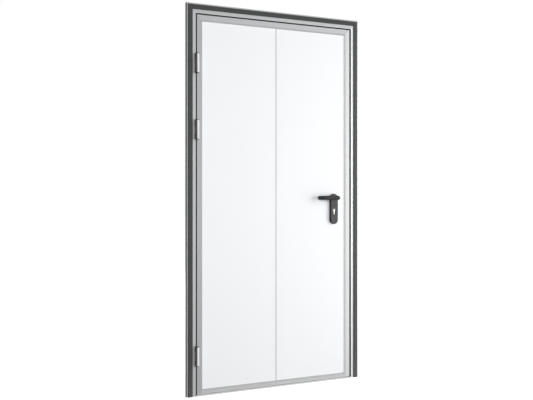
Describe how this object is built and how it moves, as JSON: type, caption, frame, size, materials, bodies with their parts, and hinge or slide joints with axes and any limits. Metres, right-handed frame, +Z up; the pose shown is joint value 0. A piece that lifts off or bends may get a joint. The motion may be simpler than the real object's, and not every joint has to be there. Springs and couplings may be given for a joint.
{
  "type": "steel utility door",
  "caption": "Single-leaf white steel panel door in an aluminium frame, with knuckled hinges, a U-shaped lever handle with a long plate, a key cylinder and a low threshold.",
  "frame": {"origin": "underside of the threshold, in the middle of the frame's width and in the plane of the wall that the casing lies against", "axes": "+X to the lock side, +Y into the wall, +Z up"},
  "size_m": [1.103, 0.1686, 2.0865],
  "materials": {
    "panel": "smooth white coil-coated steel sheet, satin",
    "aluminium": "silver anodised, fine lengthwise grain",
    "cover": "anthracite powder coat, satin",
    "rubber": "black, matt",
    "nylon": "black moulded nylon, satin",
    "hinge": "light grey powder coat over steel",
    "nickel": "satin nickel-plated brass",
    "steel": "zinc-plated steel"
  },
  "bodies": {
    "frame": {"hinge_side_casing": "aluminium", "lock_side_casing": "aluminium", "head_casing": "aluminium", "hinge_jamb": "aluminium", "lock_jamb": "aluminium", "frame_head": "aluminium", "hinge_side_stop": "aluminium", "lock_side_stop": "aluminium", "head_stop": "aluminium", "threshold": "aluminium", "hinge_side_cover": "cover", "lock_side_cover": "cover", "head_cover": "cover", "hinge_reveal_strip": "rubber", "lock_reveal_strip": "rubber", "head_reveal_strip": "rubber", "hinge_side_seal": "rubber", "lock_side_seal": "rubber", "head_seal": "rubber", "sill_seal": "rubber", "strike_plate": "steel", "top_frame_hinge": "hinge", "middle_frame_hinge": "hinge", "bottom_frame_hinge": "hinge", "hinge_caps": "nylon"},
    "leaf": {"hinge_side_panel": "panel", "lock_side_panel": "panel", "hinge_stile": "aluminium", "lock_stile": "aluminium", "top_rail": "aluminium", "bottom_rail": "aluminium", "hinge_edge_strip": "rubber", "lock_edge_strip": "rubber", "top_edge_strip": "rubber", "mortise_lock": "steel", "key_cylinder": "nickel", "front_handle_plate": "nylon", "back_handle_plate": "nylon", "top_leaf_hinge": "hinge", "middle_leaf_hinge": "hinge", "bottom_leaf_hinge": "hinge"},
    "handle": {"front_lever": "nylon", "back_lever": "nylon", "spindle": "steel"}
  },
  "joints": [
    {"name": "leaf_swing", "type": "hinge", "parent": "frame", "child": "leaf", "pos_m": [-0.4955, -0.03, 0], "axis": [0, 0, -1], "range_deg": [0, 170]},
    {"name": "lever_turn", "type": "hinge", "parent": "leaf", "child": "handle", "pos_m": [0.381, 0.01, 1.05], "axis": [0, -1, 0], "range_deg": [0, 45], "stiffness_Nm_per_rad": 1.2, "springref_deg": -28.65}
  ]
}
